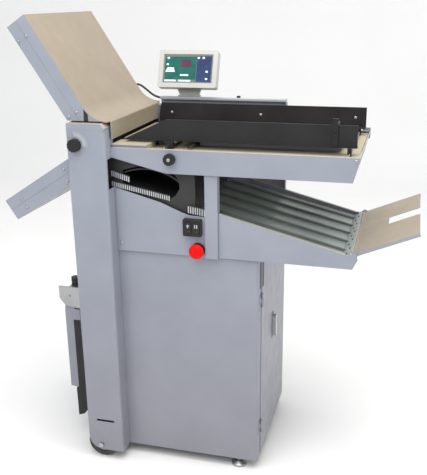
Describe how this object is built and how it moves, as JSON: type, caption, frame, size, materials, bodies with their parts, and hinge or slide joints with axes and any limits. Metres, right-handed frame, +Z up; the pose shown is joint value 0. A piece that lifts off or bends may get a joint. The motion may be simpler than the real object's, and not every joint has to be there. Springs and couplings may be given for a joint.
{
  "type": "floor-standing paper folding machine",
  "caption": "Mailroom paper folder on a cabinet: a feed table with sliding guides, leaning fold plates, geared rollers, a delivery tray, a touch screen and wheels",
  "frame": {"origin": "the middle of the bounding box on the floor the machine stands on", "axes": "+X runs from the fold plates towards the feed and delivery end, +Y from the operator's side to the back, +Z up"},
  "size_m": [1.101, 0.4864, 1.2604],
  "materials": {
    "panel_grey": "satin powder coat",
    "panel_tan": "satin powder coat",
    "panel_pale": "satin powder coat",
    "frame_dark": "matt black paint",
    "bare_steel": "ground steel",
    "black_plastic": "matt moulded",
    "pale_plastic": "matt moulded",
    "red_plastic": "glossy moulded",
    "roller_rubber": "matt ground rubber",
    "wheel_tyre": "soft grey tread",
    "rib_plastic": "dark moulded strip"
  },
  "bodies": {
    "chassis": {"base_frame": "frame_dark", "side_plates": "frame_dark", "column_cover_front": "panel_grey", "column_cover_rear": "panel_grey", "column_caps": "panel_pale", "tower_panel": "panel_grey", "mid_panel": "panel_grey", "rear_panel": "panel_grey", "top_bar": "panel_pale", "table_post": "panel_grey", "cabinet_shell": "panel_grey", "operator_housings": "black_plastic", "table_rails": "panel_grey", "table_surface": "panel_tan", "feed_bed": "panel_tan", "guide_rods": "bare_steel", "tray_sides": "panel_grey", "tray_floor": "panel_grey", "tray_ribs": "rib_plastic", "delivery_strips": "panel_pale", "delivery_chute": "frame_dark", "drive_motor": "frame_dark", "drive_belt": "roller_rubber", "vacuum_pump": "frame_dark", "control_box": "bare_steel", "power_inlet": "black_plastic", "levelling_feet": "bare_steel", "axle_bolts": "bare_steel", "side_tray_brackets": "bare_steel", "screen_lead": "black_plastic"},
    "upper_fold_plate": {"upper_plate_body": "panel_grey", "upper_plate_cover": "panel_tan"},
    "upper_sheet_stop": {"upper_stop": "bare_steel"},
    "lower_fold_plate": {"lower_plate_body": "panel_grey", "lower_plate_cover": "panel_tan"},
    "lower_sheet_stop": {"lower_stop": "bare_steel"},
    "roller_a": {"fold_roller_a": "roller_rubber"},
    "roller_b": {"fold_roller_b": "roller_rubber"},
    "roller_c": {"fold_roller_c": "roller_rubber"},
    "roller_d": {"fold_roller_d": "roller_rubber"},
    "drum": {"feed_drum": "roller_rubber"},
    "motor_rotor": {"motor_pulley": "bare_steel"},
    "front_guide": {"guide_front": "black_plastic"},
    "rear_guide": {"guide_rear": "black_plastic"},
    "pinion": {"guide_pinion": "bare_steel"},
    "stop_block": {"paper_stop": "black_plastic"},
    "table_adjuster": {"table_knob": "black_plastic"},
    "column_adjuster": {"column_knob": "black_plastic"},
    "extension": {"tray_extension": "panel_tan"},
    "start_key": {"start_button": "black_plastic"},
    "stop_key": {"stop_button": "black_plastic"},
    "emergency_stop": {"estop_head": "red_plastic"},
    "door": {"cabinet_door": "panel_grey"},
    "door_lever": {"door_handle": "bare_steel"},
    "screen_swivel": {"screen_neck": "pale_plastic"},
    "screen_tilt": {"screen_housing": "pale_plastic"},
    "catch_tray": {"side_tray": "panel_grey"},
    "tray_clamp": {"clamp_knob": "black_plastic"},
    "caster_front": {"wheel_front": "wheel_tyre"},
    "caster_rear": {"wheel_rear": "wheel_tyre"}
  },
  "joints": [
    {"name": "upper_plate_lift", "type": "hinge", "parent": "chassis", "child": "upper_fold_plate", "pos_m": [-0.34584, -0.0057, 1.01], "axis": [0, -1, 0], "range_deg": [0, 35]},
    {"name": "upper_stop_slide", "type": "slide", "parent": "upper_fold_plate", "child": "upper_sheet_stop", "axis": [-0.5373, 0, 0.8434], "range_m": [-0.05, 0.09]},
    {"name": "lower_plate_slide", "type": "slide", "parent": "chassis", "child": "lower_fold_plate", "axis": [-0.8434, 0, -0.5373], "range_m": [0, 0.15]},
    {"name": "lower_stop_slide", "type": "slide", "parent": "lower_fold_plate", "child": "lower_sheet_stop", "axis": [-0.8434, 0, -0.5373], "range_m": [-0.09, 0.08]},
    {"name": "roller_b_spin", "type": "hinge", "parent": "chassis", "child": "roller_b", "pos_m": [-0.26764, -0.0057, 0.8962], "axis": [0, 1, 0], "continuous": true},
    {"name": "roller_a_spin", "type": "hinge", "parent": "chassis", "child": "roller_a", "pos_m": [-0.23728, -0.0057, 0.91554], "axis": [0, 1, 0], "continuous": true},
    {"name": "roller_c_spin", "type": "hinge", "parent": "chassis", "child": "roller_c", "pos_m": [-0.28698, -0.0057, 0.92656], "axis": [0, 1, 0], "continuous": true},
    {"name": "roller_d_spin", "type": "hinge", "parent": "chassis", "child": "roller_d", "pos_m": [-0.298, -0.0057, 0.87686], "axis": [0, 1, 0], "continuous": true},
    {"name": "drum_spin", "type": "hinge", "parent": "chassis", "child": "drum", "pos_m": [-0.19656, -0.0057, 0.92304], "axis": [0, 1, 0], "continuous": true},
    {"name": "motor_spin", "type": "hinge", "parent": "chassis", "child": "motor_rotor", "pos_m": [-0.28384, -0.0057, 0.76], "axis": [0, 1, 0], "continuous": true},
    {"name": "front_guide_slide", "type": "slide", "parent": "chassis", "child": "front_guide", "axis": [0, 1, 0], "range_m": [0, 0.1]},
    {"name": "rear_guide_slide", "type": "slide", "parent": "chassis", "child": "rear_guide", "axis": [0, -1, 0], "range_m": [0, 0.1]},
    {"name": "pinion_turn", "type": "hinge", "parent": "chassis", "child": "pinion", "pos_m": [-0.06584, 0.0003, 0.932], "axis": [0, 0, -1], "range_deg": [-5, 385]},
    {"name": "stop_block_slide", "type": "slide", "parent": "front_guide", "child": "stop_block", "axis": [1, 0, 0], "range_m": [-0.38, 0.03]},
    {"name": "table_knob_turn", "type": "hinge", "parent": "chassis", "child": "table_adjuster", "pos_m": [-0.07584, -0.2072, 0.908], "axis": [0, 1, 0], "range_deg": [-135, 135]},
    {"name": "column_knob_turn", "type": "hinge", "parent": "chassis", "child": "column_adjuster", "pos_m": [-0.32084, -0.2372, 0.94], "axis": [0, 1, 0], "range_deg": [0, 120]},
    {"name": "extension_fold", "type": "hinge", "parent": "chassis", "child": "extension", "pos_m": [0.39316, 0.0138, 0.683], "axis": [0, -1, 0], "range_deg": [0, 70]},
    {"name": "start_press", "type": "slide", "parent": "chassis", "child": "start_key", "axis": [0, 1, 0], "range_m": [0, 0.003], "stiffness_N_per_m": 500, "springref_m": -0.001},
    {"name": "stop_press", "type": "slide", "parent": "chassis", "child": "stop_key", "axis": [0, 1, 0], "range_m": [0, 0.003], "stiffness_N_per_m": 500, "springref_m": -0.001},
    {"name": "estop_press", "type": "slide", "parent": "chassis", "child": "emergency_stop", "axis": [0, 1, 0], "range_m": [0, 0.006]},
    {"name": "door_swing", "type": "hinge", "parent": "chassis", "child": "door", "pos_m": [0.15516, -0.1427, 0.33], "axis": [0, 0, -1], "range_deg": [0, 100]},
    {"name": "door_lever_turn", "type": "hinge", "parent": "door", "child": "door_lever", "pos_m": [0.15416, 0.0228, 0.398], "axis": [1, 0, 0], "range_deg": [0, 90]},
    {"name": "screen_swivel_turn", "type": "hinge", "parent": "chassis", "child": "screen_swivel", "pos_m": [-0.14784, 0.2093, 1.008], "axis": [0, 0, 1], "range_deg": [-90, 90]},
    {"name": "screen_tilt_turn", "type": "hinge", "parent": "screen_swivel", "child": "screen_tilt", "pos_m": [-0.14784, 0.2148, 1.037], "axis": [1, 0, 0], "range_deg": [-20, 20]},
    {"name": "catch_tray_swing", "type": "hinge", "parent": "chassis", "child": "catch_tray", "pos_m": [-0.42384, -0.0057, 0.47], "axis": [0, 1, 0], "range_deg": [0, 75]},
    {"name": "tray_clamp_turn", "type": "hinge", "parent": "chassis", "child": "tray_clamp", "pos_m": [-0.40984, -0.1092, 0.5], "axis": [0, 0, 1], "range_deg": [0, 180]},
    {"name": "front_wheel_roll", "type": "hinge", "parent": "chassis", "child": "caster_front", "pos_m": [-0.30684, -0.2052, 0.046], "axis": [0, 1, 0], "continuous": true},
    {"name": "rear_wheel_roll", "type": "hinge", "parent": "chassis", "child": "caster_rear", "pos_m": [-0.30684, 0.1938, 0.046], "axis": [0, 1, 0], "continuous": true}
  ],
  "couplings": [
    {"joint": "roller_a_spin", "follows": "roller_b_spin", "ratio": -1},
    {"joint": "roller_c_spin", "follows": "roller_b_spin", "ratio": -1},
    {"joint": "roller_d_spin", "follows": "roller_b_spin", "ratio": -1},
    {"joint": "drum_spin", "follows": "roller_b_spin", "ratio": 0.76923},
    {"joint": "motor_spin", "follows": "roller_b_spin", "ratio": 1.4},
    {"joint": "rear_guide_slide", "follows": "front_guide_slide", "ratio": 1},
    {"joint": "pinion_turn", "follows": "front_guide_slide", "rad_per_m": 66.667}
  ]
}
